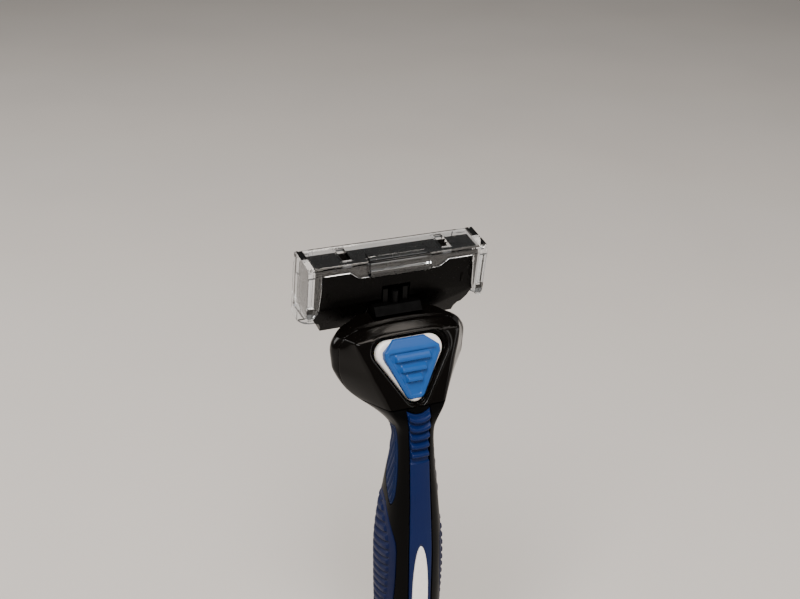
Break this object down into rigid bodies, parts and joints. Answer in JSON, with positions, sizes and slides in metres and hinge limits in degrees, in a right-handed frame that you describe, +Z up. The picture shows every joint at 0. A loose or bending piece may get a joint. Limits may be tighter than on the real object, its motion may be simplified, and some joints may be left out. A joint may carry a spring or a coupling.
{
  "type": "cartridge razor",
  "caption": "Wet-shaving razor with a slim rubber-gripped handle, a triangular release button, and a pivoting blade cartridge under a clear push-on travel cover.",
  "frame": {"origin": "middle of the neck below the head, where a wall holder's fork takes the razor", "axes": "+X along the cartridge, -Y towards the side with the release button, +Z up the handle to the head"},
  "size_m": [0.0448, 0.0321, 0.144],
  "materials": {
    "black_gloss_plastic": "glossy",
    "black_satin_plastic": "satin",
    "blue_elastomer": "satin",
    "blue_button_pad": "satin",
    "white_plastic": "glossy",
    "clear_plastic": "clear, polished",
    "blade_steel": "ground",
    "spring_steel": "drawn wire",
    "green_lubricating_strip": "matte, dry",
    "blue_gel_strip": "matte, dry"
  },
  "bodies": {
    "handle": {"handle_core": "black_satin_plastic", "front_grip_strip": "blue_elastomer", "oval_badge": "white_plastic", "side_grip_left": "blue_elastomer", "side_grip_right": "blue_elastomer", "rear_grip": "blue_elastomer", "head_shell": "black_gloss_plastic", "head_back_cover": "black_gloss_plastic", "docking_nose": "black_satin_plastic", "plunger_spring": "spring_steel", "button_spring": "spring_steel"},
    "button": {"release_button": "white_plastic", "button_pad": "blue_button_pad"},
    "ejector": {"ejector_fork": "black_satin_plastic"},
    "plunger": {"return_plunger": "black_satin_plastic"},
    "connector": {"connector_yoke": "black_satin_plastic"},
    "cartridge": {"cartridge_housing": "black_gloss_plastic", "blade_1": "blade_steel", "blade_2": "blade_steel", "blade_3": "blade_steel", "blade_4": "blade_steel", "blade_5": "blade_steel", "gel_strip": "blue_gel_strip", "lubricating_strip": "green_lubricating_strip", "end_cap_left": "black_satin_plastic", "end_cap_right": "black_satin_plastic", "pivot_pin_left": "spring_steel", "pivot_pin_right": "spring_steel"},
    "cover": {"clear_cover": "clear_plastic"}
  },
  "joints": [
    {"name": "button_press", "type": "slide", "parent": "handle", "child": "button", "axis": [0, 0.9205, -0.3907], "range_m": [0, 0.0015], "stiffness_N_per_m": 800, "springref_m": -0.0015, "deforming": ["button_spring"]},
    {"name": "ejector_slide", "type": "slide", "parent": "handle", "child": "ejector", "axis": [0, 0, 1], "range_m": [0, 0.002]},
    {"name": "plunger_slide", "type": "slide", "parent": "handle", "child": "plunger", "axis": [0, 0, -1], "range_m": [0, 0.0017], "deforming": ["plunger_spring"]},
    {"name": "connector_pull", "type": "slide", "parent": "handle", "child": "connector", "axis": [0, 0, 1], "range_m": [0, 0.012]},
    {"name": "cartridge_pivot", "type": "hinge", "parent": "connector", "child": "cartridge", "pos_m": [0, 0.0148, 0.0302], "axis": [1, 0, 0], "range_deg": [0, 35], "stiffness_Nm_per_rad": 0.02, "springref_deg": -17.19},
    {"name": "cover_slide", "type": "slide", "parent": "cartridge", "child": "cover", "axis": [0, -0.1392, 0.9903], "range_m": [0, 0.025]}
  ],
  "couplings": [
    {"joint": "ejector_slide", "follows": "button_press", "ratio": 1.3333},
    {"joint": "plunger_slide", "follows": "cartridge_pivot", "m_per_rad": 0.0026}
  ]
}
